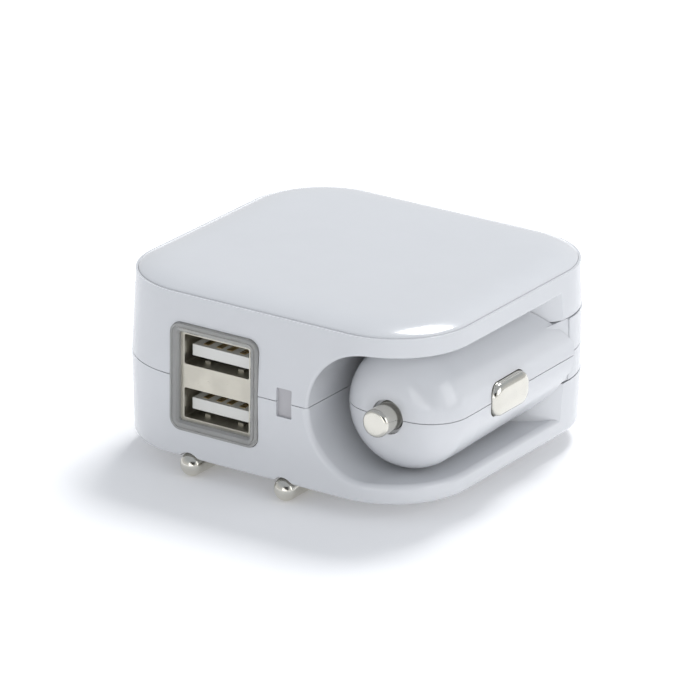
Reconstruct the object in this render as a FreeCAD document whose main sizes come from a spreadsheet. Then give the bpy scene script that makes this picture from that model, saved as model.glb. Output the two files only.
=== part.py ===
"""Folding wall and car USB charger: every sub-part as a parametric FreeCAD object.

The case stands with its USB face towards -Y and its car plug folded along the +X side.
Sizes are millimetres.  The numbers in SIZES are written about the middle of the case's
underside; frame_x, frame_y and frame_z carry them to the part's own origin, which lies
on the floor under the middle of the whole folded charger.
"""
import FreeCAD, Part
import math
import os

import Sketcher
from FreeCAD import Placement, Rotation, Vector

SIZES = {
    "frame_x": -1.15, "frame_y": 0.25, "frame_z": 3.14,
    # Case: outline at the seam between its two shells, drafted above and below it
    "case_x": 31.1, "case_y": 29.6, "case_corner": 14.6,
    "seam_z": 14.05, "rim_z": 28.0, "rim_draft": 0.6, "foot_draft": 0.4, "foot_round": 0.9,
    "wall": 2.0, "underside": 2.0, "deck_z": 25.5, "deck": 0.9,
    "seam_gap": 0.07, "seam_depth": 0.5, "recess_groove": 0.35, "plug_groove": 0.4,
    "rim_wall": 0.4, "cover_fit": 0.05, "cover_z": 29.5, "cover_round": 1.2,
    # Recess that the car plug folds into
    "recess_x": 20.4, "recess_z": 14.1, "recess_radius": 10.7, "recess_wall": 1.2,
    "lip": 0.9, "lip_crisp": 0.45, "lip_reach": 1.1,
    # Hinge of the car plug, in the rear corner
    "pivot_x": 20.2, "pivot_y": 18.2, "ear_radius": 11.7, "slot_radius": 12.3,
    "slot_z": 9.3, "slot_height": 11.1, "slot_x": 11.5, "hinge_gap": 0.25,
    "hinge_pin": 1.5, "hinge_fit": 0.06, "hinge_pin_z": 2.6, "hinge_pin_length": 21.6,
    "ring_inner": 3.4, "ring_outer": 6.0, "ring_height": 0.8, "contact_gap": 0.05,
    # Car plug
    "plug_x": 22.0, "plug_radius": 10.4, "plug_waist": 10.1, "plug_heel": 10.0,
    "plug_front": -25.1, "plug_bulge_y": -14.0, "plug_waist_y": 0.0, "plug_end_y": 15.0,
    "plug_nose": 7.0, "plug_wall": 1.6, "neck_radius": 12.0,
    "cavity_nose": 5.2, "cavity_taper": 7.4, "tip_bore_depth": 6.0,
    "tongue_x": 12.5, "tongue_flank": 9.0, "tongue_bow": 60.0, "tongue_y": 4.0,
    "tongue_front": 9.6, "tongue_top": 15.0, "tongue_reach": 8.0, "corner_reach": 11.6,
    "tongue_corner_x": 16.4, "tongue_corner_y": 14.8, "knuckle": 10.2,
    "nose_hole": 2.9, "nose_depth": 1.0, "tip_bore": 2.5,
    "tip_radius": 2.35, "tip_y": -29.0, "tip_length": 14.5, "tip_collar": 3.3,
    "tip_collar_y": -22.5, "tip_collar_width": 1.2, "tip_round": 1.0,
    "spring_wire": 0.4, "tip_spring_y": -11.6, "tip_spring_length": 3.9, "tip_spring_radius": 2.2,
    "fuse_y": -7.4, "fuse_length": 11.5, "fuse_radius": 2.5, "fuse_glass": 2.4, "fuse_cap": 3.0,
    # Side contacts of the car plug
    "side_y": -5.4, "side_length": 10.4, "side_height": 5.6, "side_round": 2.0, "side_proud": 1.3,
    "side_fit": 0.12, "side_flange": 0.8, "side_flange_x": 7.0, "side_flange_grow": 0.7,
    "side_crown": 1.15, "side_seat": 0.4, "inner_proud": 0.6, "inner_crown": 0.5,
    "side_spring_radius": 1.6, "side_spring_x": 2.8, "side_spring_length": 2.6,
    # USB sockets
    "usb_x": -8.15, "usb_z": 14.07, "usb_pitch": 9.16,
    "bezel_width": 17.0, "bezel_height": 18.4, "bezel_round": 2.0, "bezel_fit": 0.05,
    "bezel_proud": 0.15, "bezel_depth": 1.9, "bezel_flange": 0.8, "bezel_flange_depth": 0.9,
    "notch_width": 1.8, "notch": 0.35, "notch_depth": 0.8, "bezel_hole": 6.0, "socket_fit": 0.03,
    "socket_width": 13.8, "socket_height": 16.0, "socket_round": 0.6, "socket_recess": 0.9,
    "socket_depth": 15.0, "port_width": 12.5, "port_height": 5.12, "port_back": 0.6,
    "port_round": 0.3, "band_wall": 0.4, "band_recess": 0.5,
    "tab_width": 1.0, "tab_length": 3.0, "tab_height": 0.35, "tab_spread": 3.2, "tab_depth": 2.2,
    "tongue_width": 11.1, "tongue_thick": 1.9, "tongue_gap": 1.2, "tongue_recess": 1.3,
    "block_depth": 5.0, "contact_width": 1.0, "contact_thick": 0.12, "contact_length": 7.8,
    "contact_outer": 3.5, "contact_inner": 1.0, "contact_set_back": 0.8,
    # Status window
    "window_x": 5.35, "window_z": 13.95, "window_width": 2.9, "window_height": 4.9,
    "window_round": 0.25, "window_recess": 0.55, "window_depth": 4.5,
    "led_size": 2.4, "led_depth": 1.4,
    # Mains pins, folded flat under the case, and their carrier
    "pin_radius": 2.0, "pin_left_x": -13.2, "pin_right_x": 5.0, "pin_tip_y": -30.1,
    "pin_length": 24.3, "pin_z": -1.14, "pin_groove": 2.25, "pin_flat": 0.02,
    "fold_y": -8.9, "fold_z": 2.2, "carrier_radius": 2.6, "carrier_half": 2.2,
    "carrier_x": -17.2, "carrier_width": 26.2, "carrier_foot": -3.0,
    "pocket_x": -17.5, "pocket_width": 26.8, "pocket_front": 3.2, "pocket_length": 9.6,
    "pocket_z": 5.4, "pocket_wall": 1.2, "axle_radius": 1.0, "axle_x": -19.6, "axle_length": 31.0,
    "axle_fit": 0.05, "leaf_width": 3.0, "leaf_length": 6.0, "leaf_thick": 0.3,
    # Circuit board, hung under the case's deck
    "board_z": 22.3, "board_thick": 1.6, "board_inset": 2.6, "board_edge_x": 7.6, "board_gap": 0.3,
    "board_front": 3.3,
    "boss_radius": 3.0, "boss_x": -22.0, "boss_front_y": -13.0, "boss_back_y": 15.0,
    "screw_radius": 1.25, "screw_head": 2.4, "screw_head_height": 1.4, "screw_length": 4.0,
    # Transformer: a core about a winding
    "core_x": -9.0, "core_y": 6.0, "core_length": 15.0, "core_width": 12.0, "core_height": 12.5,
    "winding_length": 7.0, "winding_width": 16.0, "winding_height": 9.0,
    # Capacitors and the other components hung from the board
    "input_can_x": -21.5, "input_can_y": 2.0, "input_can_radius": 4.0, "input_can_height": 14.0,
    "output_can_x": 3.6, "output_can_front": -4.0, "output_can_back": 3.0,
    "output_can_radius": 3.0, "output_can_height": 11.0,
    "bridge_x": -21.5, "bridge_y": -6.5, "bridge_length": 5.0, "bridge_width": 6.5,
    "bridge_height": 2.4, "chip_x": -12.0, "chip_y": 20.0, "chip_length": 5.0, "chip_width": 6.0,
    "chip_height": 1.7, "inductor_x": 3.0, "inductor_y": 17.5, "inductor_radius": 3.6,
    "inductor_height": 6.0, "mains_fuse_x": -20.0, "mains_fuse_y": 9.5,
    "mains_fuse_radius": 2.2, "mains_fuse_height": 7.0,
}

NEAR = 0.01

TURNS = {"x": Rotation(Vector(0, 1, 0), 90), "y": Rotation(Vector(1, 0, 0), -90),
         "z": Rotation()}

doc = FreeCAD.newDocument("charger")
sheet = doc.addObject("Spreadsheet::Sheet", "Sizes")
pieces = []


class Size:
    """A length, with the spreadsheet formula that it is worked out by."""

    def __init__(self, value, text):
        self.value = value
        self.text = text

    def __add__(self, other):
        other = size(other)
        return Size(self.value + other.value, f"({self.text} + {other.text})")

    def __sub__(self, other):
        other = size(other)
        return Size(self.value - other.value, f"({self.text} - {other.text})")

    def __mul__(self, other):
        other = size(other)
        return Size(self.value * other.value, f"({self.text} * {other.text})")

    def __truediv__(self, other):
        other = size(other)
        return Size(self.value / other.value, f"({self.text} / {other.text})")

    def __neg__(self):
        return Size(-self.value, f"(0 - {self.text})")


def size(number):
    """A plain number as a Size; a Size stays as it is."""
    return number if isinstance(number, Size) else Size(float(number), repr(float(number)))


class Sheet:
    """The spreadsheet's cells by name: dim.wall is the cell with the alias wall."""

    def __getattr__(self, name):
        return Size(SIZES[name], f"Sizes.{name}")


dim = Sheet()


def fill_sheet():
    """One row for each driving dimension: its name, and its number under that alias."""
    for row, (name, number) in enumerate(SIZES.items(), 1):
        sheet.set(f"A{row}", name)
        sheet.set(f"B{row}", str(number))
        sheet.setAlias(f"B{row}", name)
    doc.recompute()


def bind(item, **formulas):
    """Tie properties of an object to formulas; Placement parts are written Placement_Base_x."""
    for name, number in formulas.items():
        item.setExpression(name.replace("_", "."), size(number).text)


def place(item, x, y, z, turn=None):
    """Put an object at a point given about the middle of the case's underside."""
    item.Placement = Placement(Vector(), turn or Rotation())
    bind(item, Placement_Base_x=dim.frame_x + x, Placement_Base_y=dim.frame_y + y,
         Placement_Base_z=dim.frame_z + z)
    return item


def box(name, x, y, z, length, width, height):
    item = doc.addObject("Part::Box", name)
    bind(item, Length=length, Width=width, Height=height)
    return place(item, x, y, z)


def rod(name, axis, x, y, z, radius, length):
    """Cylinder that starts at a point and runs along +X, +Y or +Z."""
    item = doc.addObject("Part::Cylinder", name)
    bind(item, Radius=radius, Height=length)
    return place(item, x, y, z, TURNS[axis])


def fuse(name, *items):
    item = doc.addObject("Part::MultiFuse", name)
    item.Shapes = list(items)
    item.Refine = True
    return item


def common(name, *items):
    item = doc.addObject("Part::MultiCommon", name)
    item.Shapes = list(items)
    return item


def cut(name, base, *tools):
    item = doc.addObject("Part::Cut", name)
    item.Base = base
    item.Tool = tools[0] if len(tools) == 1 else fuse(name + "_tools", *tools)
    item.Refine = True
    return item


def group(name, items):
    item = doc.addObject("Part::Compound", name)
    item.Links = list(items)
    return item


def round_edges(name, base, radius, chosen):
    """Fillet the edges of a finished object that the test chosen picks."""
    doc.recompute()
    item = doc.addObject("Part::Fillet", name)
    item.Base = base
    item.Edges = [(number, radius.value, radius.value)
                  for number, edge in enumerate(base.Shape.Edges, 1) if chosen(edge)]
    return item


def piece(label, item):
    """Name a finished sub-part; its label is the name of its file."""
    item.Label = label
    pieces.append(item)
    return item


def fix(sketch, kind, *where):
    """Add a dimension whose last value is a Size, and tie it to the sheet."""
    number = sketch.addConstraint(Sketcher.Constraint(kind, *where[:-1], where[-1].value))
    sketch.setExpression(f"Constraints[{number}]", where[-1].text)


def draw_rounded_rectangle(sketch, half_width, half_height, radius):
    """Rounded rectangle about the sketch's origin: four sides joined by four arcs."""
    wide, high, bend = half_width.value, half_height.value, radius.value
    corners = [(1, 1), (-1, 1), (-1, -1), (1, -1)]
    for step, (side, rise) in enumerate(corners):
        centre = Vector(side * (wide - bend), rise * (high - bend), 0)
        circle = Part.Circle(centre, Vector(0, 0, 1), bend)
        start = step * math.pi / 2
        sketch.addGeometry(Part.ArcOfCircle(circle, start, start + math.pi / 2))
    arcs = [sketch.Geometry[step] for step in range(4)]
    for step in range(4):
        start, end = arcs[step].EndPoint, arcs[(step + 1) % 4].StartPoint
        sketch.addGeometry(Part.LineSegment(start, end))
    for step in range(4):
        after = (step + 1) % 4
        sketch.addConstraint(Sketcher.Constraint("Tangent", step, 2, 4 + step, 1))
        sketch.addConstraint(Sketcher.Constraint("Tangent", 4 + step, 2, after, 1))
        if step:
            sketch.addConstraint(Sketcher.Constraint("Equal", 0, step))
    sketch.addConstraint(Sketcher.Constraint("Horizontal", 4))
    sketch.addConstraint(Sketcher.Constraint("Vertical", 5))
    sketch.addConstraint(Sketcher.Constraint("Symmetric", 0, 3, 2, 3, -1, 1))
    fix(sketch, "Radius", 0, radius)
    fix(sketch, "DistanceX", 1, 3, 0, 3, (half_width - radius) * 2)
    fix(sketch, "DistanceY", 2, 3, 1, 3, (half_height - radius) * 2)


def draw_polygon(sketch, corners):
    """Closed outline through corners given as pairs of Sizes."""
    corners = [(size(across), size(up)) for across, up in corners]
    count = len(corners)
    points = [Vector(across.value, up.value, 0) for across, up in corners]
    for step in range(count):
        sketch.addGeometry(Part.LineSegment(points[step], points[(step + 1) % count]))
    for step, (across, up) in enumerate(corners):
        after = (step + 1) % count
        sketch.addConstraint(Sketcher.Constraint("Coincident", step, 2, after, 1))
        fix(sketch, "DistanceX", -1, 1, step, 1, across)
        fix(sketch, "DistanceY", -1, 1, step, 1, up)


def prism(name, x, y, z, half_width, half_height, radius, length, turn=None, taper=None):
    """Rounded rectangle centred on a point, pulled along its normal; taper is in degrees."""
    sketch = doc.addObject("Sketcher::SketchObject", name + "_outline")
    draw_rounded_rectangle(sketch, half_width, half_height, radius)
    place(sketch, x, y, z, turn)
    item = doc.addObject("Part::Extrusion", name)
    item.Base = sketch
    item.DirMode = "Normal"
    item.Solid = True
    bind(item, LengthFwd=length)
    if taper:
        item.TaperAngle = taper
    return item


def facing_prism(name, x, y, z, half_width, half_height, radius, length):
    """Rounded rectangle that faces -Y, pulled back along +Y from its front face."""
    return prism(name, x, y, z, half_width, half_height, radius, length,
                 TURNS["y"])


def spin(name, x, y, z, corners, axis="y"):
    """Solid of revolution about +Y or +X through a point; corners are (radius, along)."""
    sketch = doc.addObject("Sketcher::SketchObject", name + "_profile")
    draw_polygon(sketch, corners)
    place(sketch, x, y, z, Rotation(Vector(0, 0, 1), 0 if axis == "y" else -90))
    item = doc.addObject("Part::Revolution", name)
    item.Source = sketch
    item.Axis = Vector(0, 1, 0) if axis == "y" else Vector(1, 0, 0)
    item.Angle = 360
    item.Solid = True
    bind(item, Base_x=dim.frame_x + x, Base_y=dim.frame_y + y, Base_z=dim.frame_z + z)
    return item


def body_sketch(body, name, role="XY_Plane"):
    """Sketch on one of a body's own origin planes."""
    sketch = body.newObject("Sketcher::SketchObject", name)
    plane = next(item for item in body.Origin.OriginFeatures if item.Role == role)
    sketch.AttachmentSupport = [(plane, "")]
    sketch.MapMode = "FlatFace"
    return sketch


# ---------------------------------------------------------------- case

def case_prism(name, z, height, inset, taper=None):
    """The case's outline, inset, from a height upwards."""
    return prism(name, 0, 0, z, dim.case_x - inset, dim.case_y - inset, dim.case_corner - inset,
                 height, taper=taper)


def draft(rise, inset):
    """Taper angle in degrees of a wall that leans in by inset over rise."""
    return -math.degrees(math.atan2(inset.value, rise.value))


def recess_bar(name, grow, back):
    """The C-shaped bar that the plug's recess is cut by, grown all round, up to a depth."""
    radius = dim.recess_radius + grow
    front = -dim.case_y * 1.5
    bend = rod(name + "_bend", "y", dim.recess_x, front, dim.recess_z, radius, back - front)
    mouth = box(name + "_mouth", dim.recess_x, front, dim.recess_z - radius,
                dim.case_x, back - front, radius * 2)
    return fuse(name, bend, mouth)


def pivot_rod(name, radius, z, height):
    """Upright cylinder about the plug's hinge axis."""
    return rod(name, "z", dim.pivot_x, dim.pivot_y, z, radius, height)


def make_recess():
    """The space that both shells are opened by: the bar less the ears, and the knuckle's slot."""
    tall = dim.rim_z * 2
    ears = pivot_rod("ears", dim.ear_radius, -dim.rim_z / 2, tall)
    bar = cut("recess_bar", recess_bar("recess_core", size(0), dim.pivot_y), ears)
    sweep = pivot_rod("slot_sweep", dim.slot_radius, dim.slot_z, dim.slot_height)
    side = box("slot_side", dim.slot_x, -dim.case_y, dim.slot_z,
               dim.case_x * 2, dim.case_y * 3, dim.slot_height)
    home = pivot_rod("slot_home", dim.knuckle + dim.hinge_gap, dim.slot_z, dim.slot_height)
    return fuse("recess", bar, common("slot", sweep, side), home)


def make_keep_out():
    """Solid kept between the case's hollow and the recess: a thin wall, and the ears' block."""
    bar = recess_bar("keep_bar", dim.recess_wall, dim.pivot_y)
    block = pivot_rod("keep_block", dim.slot_radius + dim.recess_wall, size(0), dim.rim_z)
    return fuse("keep_out", bar, block)


def make_seam_groove():
    """Shallow shadow groove along the seam, round the case and inside the recess."""
    low = dim.seam_z - dim.seam_gap
    high = dim.seam_gap * 2
    ring = cut("seam_ring", case_prism("seam_outer", low, high, size(-1.0)),
               case_prism("seam_inner", low, high, dim.seam_depth))
    bar = recess_bar("seam_bar", dim.recess_groove, dim.pivot_y)
    slab = box("seam_slab", dim.recess_x - dim.case_x, -dim.case_y, low,
               dim.case_x, dim.case_y + dim.pivot_y / 4, high)
    return fuse("seam_groove", ring, common("seam_recess", bar, slab))


def front_opening(name, x, z, width, height, radius):
    """Rounded opening through the front wall."""
    front = -dim.case_y - dim.wall
    return facing_prism(name, x, front, z, width / 2, height / 2, radius, dim.wall * 3)


def make_front_openings():
    fit = dim.bezel_fit * 2
    sockets = front_opening("usb_opening", dim.usb_x, dim.usb_z, dim.bezel_width + fit,
                            dim.bezel_height + fit, dim.bezel_round)
    window = front_opening("window_opening", dim.window_x, dim.window_z, dim.window_width,
                           dim.window_height, dim.window_round)
    return fuse("front_openings", sockets, window)


def make_hinge_bore():
    """Bore for the hinge pin and seats for the two contact washers."""
    pin = pivot_rod("pin_bore", dim.hinge_pin, dim.hinge_pin_z, dim.hinge_pin_length)
    low = pivot_rod("washer_seat_low", dim.ring_outer, dim.slot_z - dim.ring_height,
                    dim.ring_height)
    high = pivot_rod("washer_seat_high", dim.ring_outer, dim.slot_z + dim.slot_height,
                     dim.ring_height)
    return fuse("hinge_bore", pin, low, high)


def on_outline(edge, z):
    """True for an edge that lies level at a height."""
    heights = [vertex.Point.z for vertex in edge.Vertexes]
    level = dim.frame_z.value + z.value
    return all(abs(height - level) < NEAR for height in heights)


def boss_places():
    """Depth of each of the two bosses that the circuit board is screwed to."""
    return (("front", dim.boss_front_y), ("back", dim.boss_back_y))


def on_lip(edge):
    """True for an edge where the recess breaks through the case's outer wall."""
    for point in edge.discretize(5):
        x = point.x - SIZES["frame_x"]
        y = point.y - SIZES["frame_y"]
        z = point.z - SIZES["frame_z"]
        bend = math.hypot(min(x - SIZES["recess_x"], 0), z - SIZES["recess_z"])
        off_wall = abs(bend - SIZES["recess_radius"]) > NEAR * 2
        straight_x = SIZES["case_x"] - SIZES["case_corner"]
        straight_y = SIZES["case_y"] - SIZES["case_corner"]
        corner = math.hypot(max(abs(x) - straight_x, 0), max(abs(y) - straight_y, 0))
        inside = SIZES["case_corner"] - corner
        behind = y > SIZES["pivot_y"] - SIZES["hinge_fit"]
        if off_wall or behind or inside > SIZES["lip_reach"]:
            return False
    return True


def make_upper_shell(recess, keep_out, groove, openings, bore):
    rise = dim.rim_z - dim.seam_z
    outer = case_prism("upper_outer", dim.seam_z, rise, size(0), draft(rise, dim.rim_draft))
    hollow = cut("upper_hollow", case_prism("upper_space", dim.seam_z, dim.deck_z - dim.seam_z,
                                            dim.wall), keep_out)
    deck_top = dim.deck_z + dim.deck
    rim = case_prism("rim_pocket", deck_top, dim.rim_z - deck_top + 1,
                     dim.rim_draft + dim.rim_wall)
    shell = cut("upper_body", outer, hollow, rim, recess, groove, openings, bore)
    board_top = dim.board_z + dim.board_thick
    posts = [rod(f"boss_{side}", "z", dim.boss_x, y, board_top, dim.boss_radius,
                 dim.deck_z - board_top) for side, y in boss_places()]
    holes = [rod(f"boss_hole_{side}", "z", dim.boss_x, y, board_top, dim.screw_radius,
                 dim.screw_length - dim.board_thick) for side, y in boss_places()]
    case = cut("upper_case", fuse("upper_posts", shell, *posts), *holes)
    return piece("upper_shell", round_edges("upper_lipped", case, dim.lip_crisp, on_lip))


def make_lower_shell(recess, keep_out, groove, openings, bore):
    drop = prism("lower_outer", 0, 0, dim.seam_z, dim.case_x, dim.case_y, dim.case_corner,
                 dim.seam_z, Rotation(Vector(1, 0, 0), 180), draft(dim.seam_z, dim.foot_draft))
    outer = round_edges("lower_rounded", drop, dim.foot_round,
                        lambda edge: on_outline(edge, size(0)))
    pocket_keep = box("pocket_keep", dim.axle_x, dim.fold_y - dim.pocket_front - dim.pocket_wall,
                      size(0), dim.axle_length,
                      dim.pocket_length + dim.pocket_wall * 2, dim.pocket_z + dim.pocket_wall)
    hollow = cut("lower_hollow", case_prism("lower_space", dim.underside,
                                            dim.seam_z - dim.underside, dim.wall),
                 keep_out, pocket_keep)
    pocket = box("pocket", dim.pocket_x, dim.fold_y - dim.pocket_front, -dim.wall,
                 dim.pocket_width, dim.pocket_length, dim.pocket_z + dim.wall)
    grooves = [rod(f"groove_{side}", "y", x, -dim.case_y * 1.2, dim.pin_z, dim.pin_groove,
                   dim.case_y * 1.2 + dim.fold_y)
               for side, x in (("left", dim.pin_left_x), ("right", dim.pin_right_x))]
    axle = rod("axle_bore", "x", dim.axle_x, dim.fold_y, dim.fold_z, dim.axle_radius,
               dim.axle_length)
    leaves = [leaf_box(f"leaf_slot_{side}", x) for side, x in
              (("left", dim.pin_left_x), ("right", dim.pin_right_x))]
    case = cut("lower_case", outer, hollow, recess, groove, openings, bore, pocket, *grooves,
               axle, *leaves)
    return piece("lower_shell", round_edges("lower_lipped", case, dim.lip, on_lip))


def make_top_cover():
    """Crowned cover: a rounded plate let into the rim, its top edge rolled over."""
    body = doc.addObject("PartDesign::Body", "cover_body")
    inset = dim.rim_draft + dim.rim_wall + dim.cover_fit
    sketch = body_sketch(body, "cover_outline")
    draw_rounded_rectangle(sketch, dim.case_x - inset, dim.case_y - inset,
                           dim.case_corner - inset)
    pad = body.newObject("PartDesign::Pad", "cover_pad")
    pad.Profile = sketch
    bind(pad, Length=dim.cover_z - dim.deck_z - dim.deck)
    doc.recompute()
    roll = body.newObject("PartDesign::Fillet", "cover_roll")
    top = [f"Edge{number}" for number, edge in enumerate(pad.Shape.Edges, 1)
           if all(vertex.Point.z > 1 for vertex in edge.Vertexes)]
    roll.Base = (pad, top)
    bind(roll, Radius=dim.cover_round)
    body.Tip = roll
    place(body, 0, 0, dim.deck_z + dim.deck)
    return piece("top_cover", body)


# ---------------------------------------------------------------- car plug

def plug_barrel(name, inset):
    """Turned blank of the car plug: a round nose, a slight bulge and a slim waist."""
    front = dim.plug_front + inset
    corners = [(size(0), front), (dim.plug_radius - inset, front),
               (dim.plug_radius - inset, dim.plug_bulge_y), (dim.plug_waist - inset,
                                                             dim.plug_waist_y),
               (dim.plug_heel - inset, dim.plug_end_y), (size(0), dim.plug_end_y)]
    blank = spin(name + "_turned", dim.plug_x, size(0), dim.seam_z, corners)
    nose = dim.frame_y.value + front.value
    return round_edges(name, blank, dim.plug_nose - inset / 2,
                       lambda edge: all(abs(vertex.Point.y - nose) < NEAR
                                        for vertex in edge.Vertexes)
                       and edge.Length > SIZES["plug_nose"])


def plug_blank(name, inset):
    """Barrel, cut back round the hinge, with the knuckle's tongue between the ears."""
    tall = dim.rim_z * 2
    z = dim.slot_z + dim.hinge_gap + inset
    height = dim.slot_height - dim.hinge_gap * 2 - inset * 2
    round_hinge = pivot_rod(name + "_neck", dim.neck_radius + inset, -dim.rim_z / 2, tall)
    barrel = cut(name + "_body", plug_barrel(name + "_barrel", inset), round_hinge)
    flank = plug_flank(name + "_flank", inset)
    corner = rod(name + "_corner", "z", dim.tongue_corner_x, dim.tongue_corner_y, z,
                 dim.case_corner - inset * 1.25, height)
    knuckle = pivot_rod(name + "_knuckle", dim.knuckle - inset, z, height)
    reach = box(name + "_reach", dim.tongue_x + inset, dim.tongue_top, z,
                dim.case_x, dim.tongue_reach, height)
    outside = box(name + "_outside", dim.pivot_x, dim.tongue_top, z,
                  dim.case_x, dim.corner_reach, height)
    heel = fuse(name + "_heel", knuckle, reach, outside)
    tongue = common(name + "_tongue", corner, heel)
    return fuse(name, barrel, flank, tongue)


def draw_bowed_section(sketch, half_width, bow, top, foot):
    """Flat top and bottom, and two sides that bow out to half_width with the radius bow."""
    reach, bend = half_width.value, bow.value
    high = math.asin(top.value / bend)
    low = math.asin(foot.value / bend)
    for side, start, end in ((1, -low, high), (-1, math.pi - high, math.pi + low)):
        circle = Part.Circle(Vector(side * (reach - bend), 0, 0), Vector(0, 0, 1), bend)
        sketch.addGeometry(Part.ArcOfCircle(circle, start, end))
    right, left = sketch.Geometry[:2]
    sketch.addGeometry(Part.LineSegment(right.EndPoint, left.StartPoint))
    sketch.addGeometry(Part.LineSegment(left.EndPoint, right.StartPoint))
    for before, after in ((0, 2), (2, 1), (1, 3), (3, 0)):
        sketch.addConstraint(Sketcher.Constraint("Coincident", before, 2, after, 1))
    for arc, side in ((0, 1), (1, -1)):
        sketch.addConstraint(Sketcher.Constraint("PointOnObject", arc, 3, -1))
        sketch.addConstraint(Sketcher.Constraint("Horizontal", arc + 2))
        fix(sketch, "Radius", arc, bow)
        fix(sketch, "DistanceX", -1, 1, arc, 3, (half_width - bow) * side)
    fix(sketch, "DistanceY", -1, 1, 2, 1, top)
    fix(sketch, "DistanceY", -1, 1, 3, 1, -foot)


def plug_flank(name, inset):
    """Neck between barrel and knuckle: its bowed sides flatten out towards the hinge."""
    gap = dim.hinge_gap + inset
    foot = dim.seam_z - dim.slot_z - gap
    top = dim.slot_z + dim.slot_height - dim.seam_z - gap
    sections = []
    for end, y, half_width, bow in (("front", dim.tongue_y, dim.tongue_front, dim.tongue_front),
                                    ("back", dim.tongue_top, dim.tongue_flank, dim.tongue_bow)):
        sketch = doc.addObject("Sketcher::SketchObject", f"{name}_{end}")
        draw_bowed_section(sketch, half_width - inset, bow - inset, top, foot)
        place(sketch, dim.plug_x, y, dim.seam_z, Rotation(Vector(1, 0, 0), 90))
        sections.append(sketch)
    loft = doc.addObject("Part::Loft", name)
    loft.Sections = sections
    loft.Solid = True
    loft.Ruled = True
    return loft


def plug_cavity():
    """Hollow of the barrel, from behind the nose to just short of the hinge."""
    wall = dim.plug_wall
    front = dim.plug_front + wall * 1.6
    back = dim.neck_radius / 2
    corners = [(size(0), front), (dim.cavity_nose, front),
               (dim.plug_waist - wall, dim.plug_front + dim.cavity_taper),
               (dim.plug_waist - wall, back), (size(0), back)]
    hollow = spin("plug_hollow", dim.plug_x, size(0), dim.seam_z, corners)
    round_hinge = pivot_rod("plug_hollow_end", dim.neck_radius + wall, -dim.rim_z / 2,
                            dim.rim_z * 2)
    return cut("plug_space", hollow, round_hinge)


def side_prism(name, grow, x, length, mirror=False):
    """Rounded prism of a side contact's outline, along X on either side of the plug's axis."""
    half_long = dim.side_length / 2 + grow
    half_high = dim.side_height / 2 + grow
    start = dim.plug_x - x - length if mirror else dim.plug_x + x
    return prism(name, start, dim.side_y, dim.seam_z, half_high, half_long,
                 dim.side_round + grow, length, Rotation(Vector(0, 1, 0), 90))


def make_plug_shells():
    blank = plug_blank("plug_outer", size(0))
    core = plug_blank("plug_inner", dim.plug_groove)
    slab = box("plug_slab", size(0), -dim.case_y, dim.seam_z - dim.seam_gap,
               dim.case_x * 1.5, dim.case_y * 2, dim.seam_gap * 2)
    groove = cut("plug_groove", slab, core)
    nose = rod("nose_hole", "y", dim.plug_x, dim.plug_front - 1, dim.seam_z, dim.nose_hole,
               dim.nose_depth + 1)
    bore = rod("tip_bore", "y", dim.plug_x, dim.plug_front, dim.seam_z, dim.tip_bore,
               dim.tip_bore_depth)
    windows = [side_prism(f"side_window_{side}", dim.side_fit, dim.plug_waist - dim.plug_wall * 2,
                          dim.plug_wall * 4, side == "inner") for side in ("outer", "inner")]
    pin = pivot_rod("knuckle_bore", dim.hinge_pin + dim.hinge_fit, size(0), dim.rim_z)
    rings = [pivot_rod(f"ring_seat_{side}", dim.ring_outer, z, dim.ring_height)
             for side, z in ring_seats()]
    body = cut("plug_body", blank, plug_cavity(), groove, nose, bore, *windows, pin, *rings)
    for side, z in (("upper", dim.seam_z), ("lower", dim.seam_z - dim.case_x)):
        half = box(f"plug_{side}_half", size(0), -dim.case_y * 1.5, z, dim.case_x * 2,
                   dim.case_y * 3, dim.case_x)
        piece(f"plug_{side}_shell", common(f"plug_{side}_part", body, half))


def ring_seats():
    """Height of each contact ring let into the knuckle's upper and lower face."""
    low = dim.slot_z + dim.hinge_gap
    high = dim.slot_z + dim.slot_height - dim.hinge_gap - dim.ring_height
    return (("upper", high), ("lower", low))


def make_tip():
    """Sprung centre contact: a domed pin with a collar that the nose holds back."""
    shank_end = dim.tip_y + dim.tip_length
    collar_end = dim.tip_collar_y + dim.tip_collar_width
    corners = [(size(0), dim.tip_y),
               (dim.tip_radius, dim.tip_y), (dim.tip_radius, dim.tip_collar_y),
               (dim.tip_collar, dim.tip_collar_y), (dim.tip_collar, collar_end),
               (dim.tip_radius, collar_end), (dim.tip_radius, shank_end), (size(0), shank_end)]
    turned = spin("tip_turned", dim.plug_x, size(0), dim.seam_z, corners)
    front = dim.frame_y.value + SIZES["tip_y"]
    rounded = round_edges("tip_rounded", turned, dim.tip_round,
                          lambda edge: abs(edge.CenterOfMass.y - front) < NEAR
                          and edge.Length > SIZES["tip_radius"])
    piece("tip_contact", rounded)


def coil(name, axis, x, y, z, radius, length):
    """Closed-up coil spring, drawn as the tube of wire that its touching turns make."""
    outer = rod(name + "_outer", axis, x, y, z, radius + dim.spring_wire / 2, length)
    inner = rod(name + "_inner", axis, x, y, z, radius - dim.spring_wire / 2, length)
    return piece(name, cut(name + "_tube", outer, inner))


def make_fuse():
    """Glass cartridge with a metal cap at each end."""
    glass = rod("fuse_glass", "y", dim.plug_x, dim.fuse_y, dim.seam_z,
                dim.fuse_glass, dim.fuse_length)
    caps = [rod(f"fuse_cap_{end}", "y", dim.plug_x, y, dim.seam_z, dim.fuse_radius, dim.fuse_cap)
            for end, y in (("front", dim.fuse_y),
                           ("back", dim.fuse_y + dim.fuse_length - dim.fuse_cap))]
    piece("plug_fuse", fuse("fuse_whole", glass, *caps))


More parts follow.
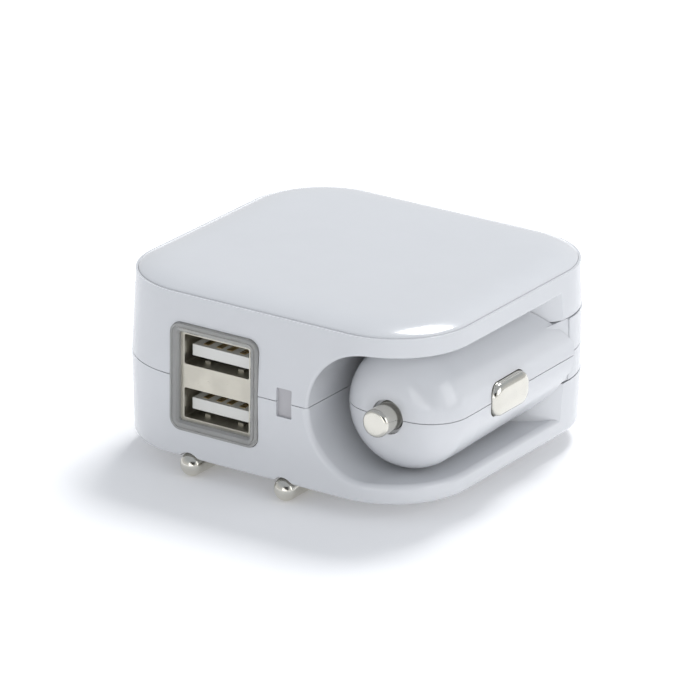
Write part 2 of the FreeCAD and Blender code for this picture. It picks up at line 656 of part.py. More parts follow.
def make_side_contact(side):
    """Sprung side contact: a domed shoe through the plug's window, with a flange behind."""
    inner = side == "inner"
    proud = dim.inner_proud if inner else dim.side_proud
    crown = dim.inner_crown if inner else dim.side_crown
    reach = dim.plug_waist + proud
    shoe = side_prism(f"shoe_{side}", size(0), dim.side_flange_x, reach - dim.side_flange_x,
                      inner)
    face = dim.frame_x + dim.plug_x + (-reach if inner else reach)
    domed = round_edges(f"shoe_domed_{side}", shoe, crown,
                        lambda edge: all(abs(vertex.Point.x - face.value) < NEAR
                                         for vertex in edge.Vertexes))
    flange = side_prism(f"flange_{side}", dim.side_flange_grow,
                        dim.side_flange_x - dim.side_seat, dim.side_flange, inner)
    piece(f"side_contact_{side}", fuse(f"contact_{side}", domed, flange))
    spring_x = -dim.side_spring_x - dim.side_spring_length if inner else dim.side_spring_x
    coil(f"side_spring_{side}", "x", dim.plug_x + spring_x, dim.side_y, dim.seam_z,
         dim.side_spring_radius, dim.side_spring_length)


def make_hinge():
    """Hinge pin fast in the ears, with washers in the ears and rings in the knuckle."""
    piece("hinge_pin", pivot_rod("hinge_rod", dim.hinge_pin, dim.hinge_pin_z,
                                 dim.hinge_pin_length))
    reach = dim.hinge_gap - dim.contact_gap
    washers = (("upper", dim.slot_z + dim.slot_height - reach),
               ("lower", dim.slot_z - dim.ring_height))
    for side, z in washers:
        disc = pivot_rod(f"washer_disc_{side}", dim.ring_outer, z, dim.ring_height + reach)
        hole = pivot_rod(f"washer_hole_{side}", dim.hinge_pin, z, dim.ring_height + reach)
        piece(f"hinge_washer_{side}", cut(f"washer_{side}", disc, hole))
    for side, z in ring_seats():
        disc = pivot_rod(f"ring_disc_{side}", dim.ring_outer, z, dim.ring_height)
        hole = pivot_rod(f"ring_hole_{side}", dim.ring_inner, z, dim.ring_height)
        piece(f"hinge_ring_{side}", cut(f"ring_{side}", disc, hole))


# ---------------------------------------------------------------- USB sockets

def port_centre(level):
    """Height of the upper or lower port's centre."""
    half = dim.usb_pitch / 2
    return dim.usb_z + half if level == "upper" else dim.usb_z - half


def make_bezel():
    """Clear frame round the sockets, flush in the front wall, held by a flange behind it."""
    front = -dim.case_y - dim.bezel_proud
    half_w, half_h = dim.bezel_width / 2, dim.bezel_height / 2
    face = facing_prism("bezel_face", dim.usb_x, front, dim.usb_z, half_w, half_h,
                        dim.bezel_round, dim.bezel_proud + dim.wall + dim.bezel_fit)
    flange = facing_prism("bezel_flange", dim.usb_x, -dim.case_y + dim.wall + dim.bezel_fit,
                          dim.usb_z, half_w + dim.bezel_flange, half_h + dim.bezel_flange,
                          dim.bezel_round, dim.bezel_flange_depth)
    hole = facing_prism("bezel_hole", dim.usb_x, front - 1, dim.usb_z,
                        dim.socket_width / 2 + dim.socket_fit,
                        dim.socket_height / 2 + dim.socket_fit, dim.socket_round,
                        dim.bezel_hole)
    half_notch = dim.notch_width / 2
    notches = [box(f"bezel_notch_{end}", dim.usb_x - half_notch, front, z, dim.notch_width,
                   dim.notch_depth, dim.notch)
               for end, z in (("top", dim.usb_z + half_h - dim.notch),
                              ("foot", dim.usb_z - half_h))]
    notches.append(box("bezel_notch_side", dim.usb_x - half_w, front, dim.usb_z - half_notch,
                       dim.notch, dim.notch_depth, dim.notch_width))
    piece("usb_bezel", cut("bezel", fuse("bezel_frame", face, flange), hole, *notches))


def make_socket_shell():
    """Stacked pair of USB-A shells: one metal block with two ports and a hollow between."""
    front = -dim.case_y + dim.socket_recess
    body = facing_prism("socket_body", dim.usb_x, front, dim.usb_z, dim.socket_width / 2,
                        dim.socket_height / 2, dim.socket_round, dim.socket_depth)
    cuts, tabs = [], []
    for level in ("upper", "lower"):
        z = port_centre(level)
        cuts.append(facing_prism(f"port_{level}", dim.usb_x, front - 1, z, dim.port_width / 2,
                                 dim.port_height / 2, dim.port_round, dim.socket_depth + 2))
        tabs += [box(f"tab_{level}_{side}", dim.usb_x + x - dim.tab_width / 2,
                     front + dim.tab_depth, z - dim.port_height / 2, dim.tab_width,
                     dim.tab_length, dim.tab_height)
                 for side, x in (("left", -dim.tab_spread), ("right", dim.tab_spread))]
    band = dim.usb_pitch - dim.port_height - dim.band_wall * 2
    cuts.append(box("band_hollow", dim.usb_x - dim.port_width / 2, front + dim.band_recess,
                    dim.usb_z - band / 2, dim.port_width, dim.socket_depth, band))
    piece("usb_shell", fuse("socket_tabbed", cut("socket", body, *cuts), *tabs))


def tongue_top(level):
    return port_centre(level) - dim.port_height / 2 + dim.tongue_gap + dim.tongue_thick


def make_port(level):
    """Insulating tongue on its block, and four contacts along the top of the tongue."""
    front = -dim.case_y + dim.socket_recess + dim.tongue_recess
    back = -dim.case_y + dim.socket_recess + dim.socket_depth
    z = port_centre(level)
    tongue = box(f"tongue_{level}", dim.usb_x - dim.tongue_width / 2, front,
                 tongue_top(level) - dim.tongue_thick, dim.tongue_width,
                 back - front, dim.tongue_thick)
    block = box(f"block_{level}", dim.usb_x - dim.port_width / 2, back - dim.block_depth,
                z - dim.port_height / 2, dim.port_width, dim.block_depth, dim.port_height)
    piece(f"usb_tongue_{level}", fuse(f"tongue_block_{level}", tongue, block))
    strips = [box(f"contact_{level}_{number}", dim.usb_x + x - dim.contact_width / 2,
                  front + dim.contact_set_back, tongue_top(level), dim.contact_width,
                  dim.contact_length, dim.contact_thick)
              for number, x in enumerate((-dim.contact_outer, -dim.contact_inner,
                                          dim.contact_inner, dim.contact_outer), 1)]
    piece(f"usb_contacts_{level}", group(f"contacts_{level}", strips))


def make_window():
    """Light pipe behind the status window, and the LED that lights it."""
    front = -dim.case_y + dim.window_recess
    pipe = facing_prism("window_pipe", dim.window_x, front, dim.window_z, dim.window_width / 2,
                        dim.window_height / 2, dim.window_round, dim.window_depth)
    piece("led_light_pipe", pipe)
    piece("status_led", box("led_block", dim.window_x - dim.led_size / 2,
                            front + dim.window_depth, dim.window_z - dim.led_size / 2,
                            dim.led_size, dim.led_depth, dim.led_size))


# ---------------------------------------------------------------- mains pins

def leaf_box(name, x):
    """Contact leaf in the pocket's ceiling, over a pin's root when the pins are out."""
    return box(name, x - dim.leaf_width / 2, dim.fold_y - dim.pin_z + dim.fold_z
               - dim.leaf_length / 2, dim.pocket_z, dim.leaf_width, dim.leaf_length,
               dim.leaf_thick)


def make_mains_pin(side, x):
    """Round mains pin, turned with a hemispherical end and a plain root."""
    body = doc.addObject("PartDesign::Body", f"pin_body_{side}")
    sketch = body_sketch(body, f"pin_profile_{side}")
    radius, length = dim.pin_radius, dim.pin_length
    draw_polygon(sketch, [(0, 0), (radius, 0), (radius, length), (0, length)])
    turn = body.newObject("PartDesign::Revolution", f"pin_turn_{side}")
    turn.Profile = sketch
    turn.ReferenceAxis = (sketch, ["V_Axis"])
    turn.Angle = 360
    doc.recompute()
    nose = body.newObject("PartDesign::Fillet", f"pin_nose_{side}")
    nose.Base = (turn, [f"Edge{number}" for number, edge in enumerate(turn.Shape.Edges, 1)
                        if abs(edge.CenterOfMass.y) < NEAR and edge.Length > radius.value * 4])
    bind(nose, Radius=radius - dim.pin_flat)
    body.Tip = nose
    place(body, x, dim.pin_tip_y, dim.pin_z)
    piece(f"ac_pin_{side}", body)


def make_carrier():
    """Carrier that holds both pins below its own hinge axis, and turns on a steel axle."""
    radius, half = dim.carrier_radius, dim.carrier_half
    hub = rod("carrier_hub", "x", dim.carrier_x, dim.fold_y, dim.fold_z, radius,
              dim.carrier_width)
    lobe = box("carrier_lobe", dim.carrier_x, dim.fold_y - half, dim.carrier_foot,
               dim.carrier_width, half * 2, dim.fold_z - dim.carrier_foot)
    bores = [rod(f"pin_socket_{side}", "y", x, dim.pin_tip_y, dim.pin_z, dim.pin_radius,
                 dim.pin_length)
             for side, x in (("left", dim.pin_left_x), ("right", dim.pin_right_x))]
    axle = rod("carrier_bore", "x", dim.axle_x, dim.fold_y, dim.fold_z,
               dim.axle_radius + dim.axle_fit, dim.axle_length)
    piece("pin_carrier", cut("carrier", fuse("carrier_block", hub, lobe), axle, *bores))
    piece("pin_axle", rod("axle", "x", dim.axle_x, dim.fold_y, dim.fold_z, dim.axle_radius,
                          dim.axle_length))


def make_mains():
    for side, x in (("left", dim.pin_left_x), ("right", dim.pin_right_x)):
        make_mains_pin(side, x)
        piece(f"ac_contact_{side}", leaf_box(f"leaf_{side}", x))
    make_carrier()


# ---------------------------------------------------------------- electronics

def make_board():
    """Circuit board under the deck, trimmed clear of the recess, on two screws."""
    blank = case_prism("board_blank", dim.board_z, dim.board_thick, dim.board_inset)
    edge = box("board_edge", -dim.case_x, -dim.case_y + dim.board_front, dim.board_z,
               dim.case_x + dim.board_edge_x, dim.case_y * 2, dim.board_thick)
    hinge = pivot_rod("board_hinge", dim.slot_radius + dim.recess_wall + dim.board_gap,
                      dim.board_z, dim.board_thick)
    holes = [rod(f"board_hole_{side}", "z", dim.boss_x, y, dim.board_z, dim.screw_radius,
                 dim.board_thick) for side, y in boss_places()]
    piece("main_board", cut("board", common("board_trim", blank, edge), hinge, *holes))
    screws = []
    for side, y in boss_places():
        head = rod(f"screw_head_{side}", "z", dim.boss_x, y, dim.board_z - dim.screw_head_height,
                   dim.screw_head, dim.screw_head_height)
        shank = rod(f"screw_shank_{side}", "z", dim.boss_x, y, dim.board_z, dim.screw_radius,
                    dim.screw_length)
        screws.append(fuse(f"screw_{side}", head, shank))
    piece("board_screws", group("screws", screws))


def hang(name, x, y, length, width, height):
    """Box-shaped component that hangs from the board, its plan centred on a point."""
    return box(name, x - length / 2, y - width / 2, dim.board_z - height, length, width, height)


def hang_can(name, x, y, radius, height):
    """Upright can that hangs from the board."""
    return rod(name, "z", x, y, dim.board_z - height, radius, height)


def make_transformer():
    """Core with a window through it, and the taped winding that fills the window."""
    plan = (dim.core_x, dim.core_y, dim.winding_length, dim.winding_width, dim.winding_height)
    block = hang("core_block", dim.core_x, dim.core_y, dim.core_length, dim.core_width,
                 dim.core_height)
    piece("transformer_core", cut("core_frame", block, hang("core_window", *plan)))
    piece("transformer_winding", hang("winding_block", *plan))


def make_components():
    """Components on the board's underside: mains side to the left, outputs to the right."""
    piece("input_capacitor", hang_can("input_can", dim.input_can_x, dim.input_can_y,
                                      dim.input_can_radius, dim.input_can_height))
    cans = [hang_can(f"output_can_{end}", dim.output_can_x, y, dim.output_can_radius,
                     dim.output_can_height)
            for end, y in (("front", dim.output_can_front), ("back", dim.output_can_back))]
    piece("output_capacitors", group("output_cans", cans))
    piece("bridge_rectifier", hang("bridge", dim.bridge_x, dim.bridge_y, dim.bridge_length,
                                   dim.bridge_width, dim.bridge_height))
    piece("controller_chip", hang("controller", dim.chip_x, dim.chip_y, dim.chip_length,
                                  dim.chip_width, dim.chip_height))
    piece("buck_inductor", hang_can("inductor_can", dim.inductor_x, dim.inductor_y,
                                    dim.inductor_radius, dim.inductor_height))
    piece("mains_fuse", hang_can("fuse_can", dim.mains_fuse_x, dim.mains_fuse_y,
                                 dim.mains_fuse_radius, dim.mains_fuse_height))


# ---------------------------------------------------------------- assembly

def failures():
    """Names of objects that did not compute, and of pieces whose shape is not a valid solid."""
    bad = [item.Name for item in doc.Objects
           if any(word in item.State for word in ("Invalid", "Error"))]
    bad += [item.Label for item in pieces
            if item.Shape.isNull() or not item.Shape.isValid() or not item.Shape.Solids]
    return bad


def main():
    fill_sheet()
    recess = make_recess()
    keep_out = make_keep_out()
    groove = make_seam_groove()
    openings = make_front_openings()
    bore = make_hinge_bore()
    make_upper_shell(recess, keep_out, groove, openings, bore)
    make_lower_shell(recess, keep_out, groove, openings, bore)
    make_top_cover()
    make_plug_shells()
    make_tip()
    coil("tip_spring", "y", dim.plug_x, dim.tip_spring_y, dim.seam_z, dim.tip_spring_radius,
         dim.tip_spring_length)
    make_fuse()
    for side in ("outer", "inner"):
        make_side_contact(side)
    make_hinge()
    make_bezel()
    make_socket_shell()
    for level in ("upper", "lower"):
        make_port(level)
    make_window()
    make_mains()
    make_board()
    make_transformer()
    make_components()
    doc.recompute()
    bad = failures()
    if bad:
        raise RuntimeError("did not build: " + ", ".join(bad))
    os.makedirs("parts", exist_ok=True)
    for item in pieces:
        item.Shape.exportStep(f"parts/{item.Label}.step")
    whole = pieces[0].Shape.BoundBox
    for item in pieces[1:]:
        whole.add(item.Shape.BoundBox)
    print(f"{len(pieces)} sub-parts, box {whole}")


main()
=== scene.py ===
import math

import bmesh
import bpy
from mathutils import Matrix, Vector


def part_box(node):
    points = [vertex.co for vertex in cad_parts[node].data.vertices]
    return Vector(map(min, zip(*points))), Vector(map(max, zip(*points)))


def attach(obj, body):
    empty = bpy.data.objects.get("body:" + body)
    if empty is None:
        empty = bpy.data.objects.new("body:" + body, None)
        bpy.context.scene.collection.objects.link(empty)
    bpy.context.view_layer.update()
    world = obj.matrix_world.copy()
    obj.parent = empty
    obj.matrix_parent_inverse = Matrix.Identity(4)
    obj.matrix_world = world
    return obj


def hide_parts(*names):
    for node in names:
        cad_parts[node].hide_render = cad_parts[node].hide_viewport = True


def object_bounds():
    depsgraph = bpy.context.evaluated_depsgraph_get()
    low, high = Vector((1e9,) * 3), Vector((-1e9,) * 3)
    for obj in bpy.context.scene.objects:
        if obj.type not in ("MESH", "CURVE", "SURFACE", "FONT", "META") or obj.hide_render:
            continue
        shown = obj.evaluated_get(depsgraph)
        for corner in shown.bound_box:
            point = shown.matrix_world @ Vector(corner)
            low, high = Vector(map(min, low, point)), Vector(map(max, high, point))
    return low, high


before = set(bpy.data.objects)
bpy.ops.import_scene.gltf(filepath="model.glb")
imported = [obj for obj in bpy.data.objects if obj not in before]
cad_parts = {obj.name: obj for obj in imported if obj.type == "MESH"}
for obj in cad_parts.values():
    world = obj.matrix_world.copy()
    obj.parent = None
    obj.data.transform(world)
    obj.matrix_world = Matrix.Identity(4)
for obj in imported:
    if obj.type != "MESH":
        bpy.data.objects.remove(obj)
cad_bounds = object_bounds()

MM = 0.001

# ---------------------------------------------------------------- procedural materials


class Nodes:
    """A new node material, with short calls that add nodes and link them."""

    def __init__(self, name):
        self.material = bpy.data.materials.new(name)
        self.material.use_nodes = True
        self.tree = self.material.node_tree
        self.shader = self.tree.nodes["Principled BSDF"]
        place = self.add("ShaderNodeTexCoord")
        self.place = place.outputs["Object"]

    def add(self, kind, **values):
        node = self.tree.nodes.new(kind)
        for name, value in values.items():
            node.inputs[name.replace("_", " ")].default_value = value
        return node

    def link(self, output, socket):
        self.tree.links.new(output, socket)

    def stretched(self, scale):
        mapping = self.add("ShaderNodeMapping", Scale=scale)
        self.link(self.place, mapping.inputs["Vector"])
        return mapping.outputs["Vector"]

    def noise(self, size_mm, detail=3.0, stretch=(1.0, 1.0, 1.0)):
        node = self.add("ShaderNodeTexNoise", Scale=1.0 / (size_mm * MM), Detail=detail)
        self.link(self.stretched(stretch), node.inputs["Vector"])
        return node.outputs["Fac"]

    def ramp(self, output, stops):
        node = self.add("ShaderNodeValToRGB")
        ramp = node.color_ramp
        while len(ramp.elements) < len(stops):
            ramp.elements.new(1.0)
        for element, (position, colour) in zip(ramp.elements, stops):
            element.position = position
            element.color = (*colour, 1.0)
        self.link(output, node.inputs["Fac"])
        return node.outputs["Color"]

    def spread(self, output, low, high):
        node = self.add("ShaderNodeMapRange", To_Min=low, To_Max=high)
        self.link(output, node.inputs["Value"])
        return node.outputs["Result"]

    def colour(self, output):
        self.link(output, self.shader.inputs["Base Color"])

    def roughness(self, output):
        self.link(output, self.shader.inputs["Roughness"])

    def bump(self, output, depth_mm, strength=1.0):
        node = self.add("ShaderNodeBump", Distance=depth_mm * MM, Strength=strength)
        self.link(output, node.inputs["Height"])
        self.link(node.outputs["Normal"], self.shader.inputs["Normal"])

    def set(self, **values):
        for name, value in values.items():
            self.shader.inputs[name.replace("_", " ")].default_value = value


def shade(colour, factor):
    """The colour, lighter or darker by a factor."""
    return tuple(min(1.0, channel * factor) for channel in colour)


def plastic(name, colour, roughness, vary=0.02, grain_mm=0.5, depth_mm=0.002, coat=0.0):
    """Moulded plastic: faint cloudy colour, a fine moulded grain and an uneven polish."""
    nodes = Nodes(name)
    cloud = nodes.noise(6.0)
    nodes.colour(nodes.ramp(cloud, [(0.3, shade(colour, 1 - vary)),
                                    (0.7, shade(colour, 1 + vary))]))
    nodes.roughness(nodes.spread(nodes.noise(1.5), roughness * 0.8, roughness * 1.25))
    nodes.bump(nodes.noise(grain_mm, detail=2.0), depth_mm)
    nodes.set(IOR=1.52, Coat_Weight=coat, Coat_Roughness=0.05)
    return nodes


def metal(name, colour, roughness, grain=(1.0, 1.0, 1.0), vary=0.06, depth_mm=0.0006):
    """Plated or bare metal with fine polishing lines along one direction."""
    nodes = Nodes(name)
    lines = nodes.noise(0.25, detail=4.0, stretch=grain)
    tarnish = nodes.noise(3.0)
    nodes.colour(nodes.ramp(tarnish, [(0.35, shade(colour, 1 - vary)),
                                      (0.7, shade(colour, 1 + vary))]))
    nodes.roughness(nodes.spread(lines, roughness * 0.6, roughness * 1.5))
    nodes.bump(lines, depth_mm)
    nodes.set(Metallic=1.0)
    return nodes


def clear_plastic():
    nodes = plastic("clear_plastic", (0.90, 0.90, 0.88), 0.04, vary=0.01, depth_mm=0.001)
    nodes.set(Transmission_Weight=0.70, IOR=1.45)
    return nodes


def light_pipe():
    """Milky acrylic that the status lamp glows through."""
    nodes = plastic("light_pipe", (0.52, 0.51, 0.53), 0.12, vary=0.03, depth_mm=0.001)
    nodes.set(Transmission_Weight=0.15, IOR=1.49)
    return nodes


def glass_tube():
    nodes = plastic("glass_tube", (0.9, 0.95, 0.95), 0.03, vary=0.01, depth_mm=0.0005)
    nodes.set(Transmission_Weight=0.85, IOR=1.5)
    return nodes


def circuit_board():
    """Green solder resist with paler copper tracks under it."""
    nodes = plastic("circuit_board", (0.03, 0.16, 0.07), 0.35)
    tracks = nodes.add("ShaderNodeTexBrick", Scale=1.0 / (6.0 * MM), Mortar_Size=0.06)
    tracks.inputs["Color1"].default_value = (0.02, 0.13, 0.05, 1.0)
    tracks.inputs["Color2"].default_value = (0.03, 0.17, 0.07, 1.0)
    tracks.inputs["Mortar"].default_value = (0.08, 0.30, 0.12, 1.0)
    nodes.link(nodes.place, tracks.inputs["Vector"])
    nodes.colour(tracks.outputs["Color"])
    return nodes


def winding_tape():
    """Yellow polyester tape wound on in overlapping turns."""
    nodes = plastic("winding_tape", (0.85, 0.62, 0.10), 0.3)
    turns = nodes.add("ShaderNodeTexWave", Scale=1.0 / (5.0 * MM), Distortion=0.6)
    turns.bands_direction = "Z"
    nodes.link(nodes.place, turns.inputs["Vector"])
    nodes.bump(turns.outputs["Fac"], 0.05)
    return nodes


def can_sleeve():
    """A shrunk sleeve on a capacitor can, dark with one pale stripe down it."""
    nodes = plastic("can_sleeve", (0.02, 0.03, 0.06), 0.25)
    stripe = nodes.add("ShaderNodeTexWave", Scale=1.0 / (26.0 * MM))
    stripe.bands_direction = "Y"
    nodes.link(nodes.place, stripe.inputs["Vector"])
    dark, pale = (0.02, 0.03, 0.06), (0.55, 0.57, 0.60)
    nodes.colour(nodes.ramp(stripe.outputs["Fac"], [(0.90, dark), (0.93, pale)]))
    return nodes


ALONG_Y = (1.0, 0.05, 1.0)
ALONG_X = (0.05, 1.0, 1.0)

FINISHES = {
    "gloss_white": plastic("gloss_white", (0.635, 0.645, 0.665), 0.17, vary=0.008, coat=0.25),
    "clear_plastic": clear_plastic(),
    "nickel": metal("nickel", (0.56, 0.535, 0.465), 0.32, grain=ALONG_X),
    "white_insulator": plastic("white_insulator", (0.74, 0.74, 0.71), 0.45, depth_mm=0.006),
    "gilt_contact": metal("gilt_contact", (0.66, 0.50, 0.26), 0.25, grain=ALONG_Y),
    "chrome": metal("chrome", (0.72, 0.70, 0.635), 0.17, vary=0.03),
    "brass": metal("brass", (0.72, 0.55, 0.25), 0.22),
    "steel": metal("steel", (0.56, 0.56, 0.57), 0.25),
    "light_pipe": light_pipe(),
    "glass_tube": glass_tube(),
    "circuit_board": circuit_board(),
    "ferrite": plastic("ferrite", (0.035, 0.035, 0.04), 0.6, grain_mm=0.3, depth_mm=0.02),
    "winding_tape": winding_tape(),
    "can_sleeve": can_sleeve(),
    "black_epoxy": plastic("black_epoxy", (0.02, 0.02, 0.022), 0.5, depth_mm=0.008),
}


def finish_with(obj, slot):
    material = FINISHES[slot].material
    if not obj.material_slots:
        obj.data.materials.append(material)
    for place in obj.material_slots:
        place.material = material


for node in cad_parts.values():
    finish_with(node, node.material_slots[0].material.name.split(".")[0])
finish_with(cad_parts["led_light_pipe"], "light_pipe")

# ---------------------------------------------------------------- detailed pieces

def rounded_outline(half_width, half_height, radius, corner_steps=24, side_steps=10):
    """Points round a rounded rectangle about the origin, evenly shared at every size."""
    points = []
    for quarter in range(4):
        across, along = ((half_width, half_height), (half_height, half_width))[quarter % 2]
        turn = Matrix.Rotation(quarter * math.pi / 2, 2)
        centre = Vector((across - radius, along - radius))
        for step in range(corner_steps + 1):
            angle = step / corner_steps * math.pi / 2
            points.append(turn @ (centre + radius * Vector((math.cos(angle), math.sin(angle)))))
        start = turn @ Vector((across - radius, along))
        end = turn @ Vector((radius - across, along))
        points += [start.lerp(end, step / side_steps) for step in range(1, side_steps)]
    return points


def skin(name, rings, slot, body, replaced, closed=False, sharp=35.0):
    """A mesh over rings of points: a closed ring of rings, or one capped at both ends."""
    build = bmesh.new()
    loops = [[build.verts.new(point) for point in ring] for ring in rings]
    pairs = list(zip(loops, loops[1:]))
    if closed:
        pairs.append((loops[-1], loops[0]))
    for near, far in pairs:
        for index in range(len(near)):
            after = (index + 1) % len(near)
            build.faces.new((near[index], near[after], far[after], far[index]))
    if not closed:
        build.faces.new(loops[0][::-1])
        build.faces.new(loops[-1])
    bmesh.ops.recalc_face_normals(build, faces=build.faces)
    mesh = bpy.data.meshes.new(name)
    build.to_mesh(mesh)
    build.free()
    mesh.shade_smooth()
    mesh.set_sharp_from_angle(angle=math.radians(sharp))
    piece = bpy.data.objects.new(name, mesh)
    bpy.context.scene.collection.objects.link(piece)
    mesh.materials.append(FINISHES[slot].material)
    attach(piece, body)
    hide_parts(replaced)
    return piece


def box_of(node):
    """A node's middle and half sizes."""
    low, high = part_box(node)
    return (low + high) / 2, (high - low) / 2


def make_cover():
    """The lid's moulded skin: a slight rolled edge, then a soft shoulder up to the flat top."""
    middle, half = box_of("top_cover")
    corner, roll, crown, flat_from = 13.55 * MM, 0.25 * MM, 1.22 * MM, 12.0 * MM
    roll_turn, roll_steps, crown_steps, fullness = math.radians(45), 8, 24, 5.0
    foot, edge = middle.z - half.z, middle.z + half.z - crown - roll
    profile = [(0.0, foot), (0.0, edge)]
    for step in range(1, roll_steps + 1):
        angle = step / roll_steps * roll_turn
        profile.append((roll * (1 - math.cos(angle)), edge + roll * math.sin(angle)))
    start_inset, start_height = profile[-1]
    for step in range(1, crown_steps + 1):
        share = step / crown_steps
        rise = 1 - (1 - share) ** fullness
        inset = start_inset + (flat_from - start_inset) * share
        profile.append((inset, start_height + (middle.z + half.z - start_height) * rise))
    rings = [[Vector((middle.x + point.x, middle.y + point.y, height))
              for point in rounded_outline(half.x - inset, half.y - inset, corner - inset)]
             for inset, height in profile]
    skin("cover_skin", rings, "gloss_white", "case", "top_cover")


def make_side_contact(side, out):
    """A sprung shoe with a pillowed face, on the wider flange that the plug holds back."""
    node = f"side_contact_{side}"
    middle, half = box_of(node)
    grow, flange, crown = 0.7 * MM, 0.8 * MM, 1.25 * MM
    half_y, half_z, corner = half.y - grow, half.z - grow, 2.3 * MM
    root, face = middle.x - half.x * out, middle.x + half.x * out
    profile = [(-grow, root), (-grow, root + flange * out), (0.0, root + flange * out),
               (0.0, face - crown * out)]
    steps, fullness, least_corner = 14, 0.8, 0.1 * MM
    for step in range(1, steps + 1):
        angle = step / steps * math.pi / 2
        inset = (1 - math.cos(angle) ** fullness) * (corner - least_corner)
        profile.append((inset, face - crown * (1 - math.sin(angle) ** fullness) * out))
    rings = [[Vector((depth, middle.y + point.x, middle.z + point.y))
              for point in rounded_outline(half_y - inset, half_z - inset, corner - inset)]
             for inset, depth in profile]
    skin(f"{node}_shoe", rings, "chrome", f"{side}_side_contact", node)


def make_tip():
    """The centre contact, turned: a flat nose with a rounded shoulder, and its collar."""
    middle, half = box_of("tip_contact")
    nose, tail = middle.y - half.y, middle.y + half.y
    radius, shoulder, dome, collar = 2.35 * MM, 0.65 * MM, 0.06 * MM, half.x
    collar_from, collar_to = nose + 6.5 * MM, nose + 7.7 * MM
    centre, shoulder_steps, turn_steps = 0.02 * MM, 12, 64
    profile = [(centre, nose), ((radius - shoulder) * 0.55, nose + dome * 0.3)]
    for step in range(shoulder_steps + 1):
        angle = step / shoulder_steps * math.pi / 2
        profile.append((radius - shoulder * (1 - math.sin(angle)),
                        nose + dome + shoulder * (1 - math.cos(angle))))
    profile += [(radius, collar_from), (collar, collar_from), (collar, collar_to),
                (radius, collar_to), (radius, tail), (centre, tail)]
    rings = []
    angles = [step / turn_steps * math.tau for step in range(turn_steps)]
    for reach, depth in profile:
        rings.append([Vector((middle.x + reach * math.cos(angle), depth,
                              middle.z + reach * math.sin(angle))) for angle in angles])
    skin("tip_turned", rings, "chrome", "plug_tip", "tip_contact")


def make_bezel():
    """The clear frame round the sockets, with a shallow moulded channel along its face."""
    middle, half = box_of("usb_bezel")
    flange, flange_deep, inner = 0.8 * MM, 0.9 * MM, 1.6 * MM
    half_x, half_z, corner = half.x - flange, half.z - flange, 2.0 * MM
    front, back = middle.y - half.y, middle.y + half.y
    bevel, throat, channel = 0.12 * MM, 0.4 * MM, front + 0.16 * MM
    profile = [(-flange, back), (-flange, back - flange_deep), (0.0, back - flange_deep),
               (0.0, front + bevel), (bevel, front), (0.42 * MM, front),
               (0.5 * MM, channel), (0.72 * MM, channel),
               (0.8 * MM, front), (1.25 * MM, front), (inner, front + throat), (inner, back)]
    least_corner = 0.3 * MM
    rings = [[Vector((middle.x + point.x, depth, middle.z + point.y))
              for point in rounded_outline(half_x - inset, half_z - inset,
                                           max(corner - inset, least_corner),
                                           corner_steps=10, side_steps=6)]
             for inset, depth in profile]
    skin("bezel_frame", rings, "clear_plastic", "case", "usb_bezel", closed=True, sharp=20.0)


make_cover()
make_side_contact("outer", 1)
make_side_contact("inner", -1)
make_tip()
make_bezel()

# ---------------------------------------------------------------- studio and camera


def make_floor():
    """A large pale sheet under the charger that glows a little, so that it reads as white."""
    half = 3.0
    mesh = bpy.data.meshes.new("floor")
    corners = [(-half, -half, 0), (half, -half, 0), (half, half, 0), (-half, half, 0)]
    mesh.from_pydata(corners, [], [(0, 1, 2, 3)])
    floor = bpy.data.objects.new("floor", mesh)
    bpy.context.scene.collection.objects.link(floor)
    nodes = Nodes("floor_sheet")
    nodes.colour(nodes.ramp(nodes.noise(40.0), [(0.3, (0.90, 0.90, 0.91)),
                                                (0.7, (0.92, 0.92, 0.93))]))
    nodes.set(Roughness=0.9, Specular_IOR_Level=0.0, Emission_Color=(1.0, 1.0, 1.0, 1.0),
              Emission_Strength=0.14)
    mesh.materials.append(nodes.material)


def make_world():
    """White surroundings, greyer towards the horizon, which polished metal reflects."""
    world = bpy.data.worlds.new("studio")
    world.use_nodes = True
    tree = world.node_tree
    background = tree.nodes["Background"]
    place = tree.nodes.new("ShaderNodeTexCoord")
    split = tree.nodes.new("ShaderNodeSeparateXYZ")
    ramp = tree.nodes.new("ShaderNodeValToRGB")
    ramp.color_ramp.elements[0].position = 0.0
    ramp.color_ramp.elements[0].color = (1.0, 1.0, 1.0, 1.0)
    ramp.color_ramp.elements[1].position = 0.6
    ramp.color_ramp.elements[1].color = (0.62, 0.66, 0.72, 1.0)
    tree.links.new(place.outputs["Generated"], split.inputs["Vector"])
    tree.links.new(split.outputs["Z"], ramp.inputs["Fac"])
    tree.links.new(ramp.outputs["Color"], background.inputs["Color"])
    background.inputs["Strength"].default_value = 0.70
    bpy.context.scene.world = world


def aim(location, target):
    """A matrix at a place, whose -Z looks at the target."""
    back = (Vector(location) - Vector(target)).normalized()
    turn = back.to_track_quat("Z", "Y").to_matrix().to_4x4()
    return Matrix.Translation(location) @ turn


def make_light(name, azimuth, elevation, distance, size, power):
    """A soft square lamp, placed around the charger by its compass angle and height angle."""
    around, up = math.radians(azimuth), math.radians(elevation)
    level = math.cos(up)
    direction = Vector((math.sin(around) * level, -math.cos(around) * level, math.sin(up)))
    lamp = bpy.data.lights.new(name, "AREA")
    lamp.size = size
    lamp.energy = power
    light = bpy.data.objects.new(name, lamp)
    light.matrix_world = aim(MIDDLE + direction * distance, MIDDLE)
    bpy.context.scene.collection.objects.link(light)


LOW, HIGH = Vector(cad_bounds[0]), Vector(cad_bounds[1])
MIDDLE = (LOW + HIGH) / 2


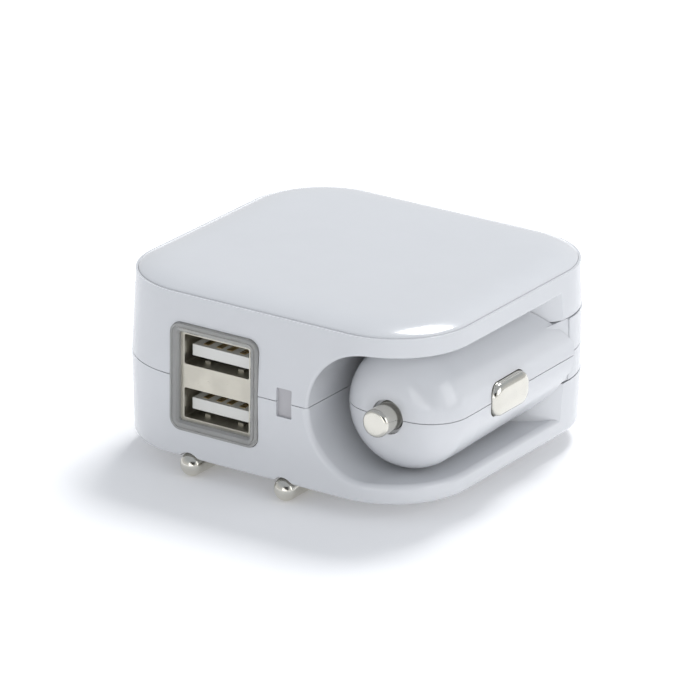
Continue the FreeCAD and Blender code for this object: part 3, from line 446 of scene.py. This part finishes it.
def make_camera():
    """A long lens from the front right corner, a little above, rolled by under a degree."""
    azimuth, elevation, roll = (math.radians(angle) for angle in (33.105, 21.105, 0.782))
    distance, shift_right, shift_up = 940.9 * MM, -1.287 * MM, 0.507 * MM
    back = Vector((math.sin(azimuth) * math.cos(elevation),
                   -math.cos(azimuth) * math.cos(elevation), math.sin(elevation)))
    level_right = Vector((math.cos(azimuth), math.sin(azimuth), 0.0))
    level_up = back.cross(level_right)
    right = level_right * math.cos(roll) + level_up * math.sin(roll)
    up = level_up * math.cos(roll) - level_right * math.sin(roll)
    aimed_at = Vector((-1.15, 0.25, 15.14)) * MM
    place = aimed_at + back * distance + right * shift_right + up * shift_up
    lens = bpy.data.cameras.new("camera")
    lens.sensor_width = 36.0
    lens.lens = 297.1
    lens.clip_start = 0.05
    camera = bpy.data.objects.new("camera", lens)
    turn = Matrix((right, up, back)).transposed().to_4x4()
    camera.matrix_world = Matrix.Translation(place) @ turn
    bpy.context.scene.collection.objects.link(camera)
    bpy.context.scene.camera = camera


def make_dark_panel():
    """A dark sheet standing in for the unlit gap in the light tent behind the camera: a painted
    dark reflection, seen only in polished metal.
    """
    half_width, half_height, behind = 0.42, 0.26, 0.05
    mesh = bpy.data.meshes.new("dark_panel")
    mesh.from_pydata([(-half_width, -half_height, behind), (half_width, -half_height, behind),
                      (half_width, half_height, behind), (-half_width, half_height, behind)],
                     [], [(0, 1, 2, 3)])
    panel = bpy.data.objects.new("dark_panel", mesh)
    panel.matrix_world = bpy.context.scene.camera.matrix_world.copy()
    bpy.context.scene.collection.objects.link(panel)
    # Painted dark reflection: a near-black sheet that only polished metal mirrors, hidden from
    # the camera, from diffuse light and from shadows.
    nodes = Nodes("painted_dark_reflection")
    nodes.colour(nodes.ramp(nodes.noise(60.0), [(0.3, (0.004, 0.004, 0.004)),
                                                (0.7, (0.012, 0.012, 0.012))]))
    nodes.set(Roughness=0.95, Specular_IOR_Level=0.0)
    mesh.materials.append(nodes.material)
    panel.visible_camera = False
    panel.visible_diffuse = False
    panel.visible_shadow = False


make_floor()
make_world()
make_light("key", azimuth=187, elevation=58, distance=0.9, size=0.30, power=5.6)
make_light("side", azimuth=95, elevation=22, distance=1.0, size=0.6, power=2.0)
make_light("fill", azimuth=18, elevation=4, distance=1.0, size=0.7, power=2.4)
make_camera()
make_dark_panel()
bpy.context.scene.view_settings.view_transform = "Standard"
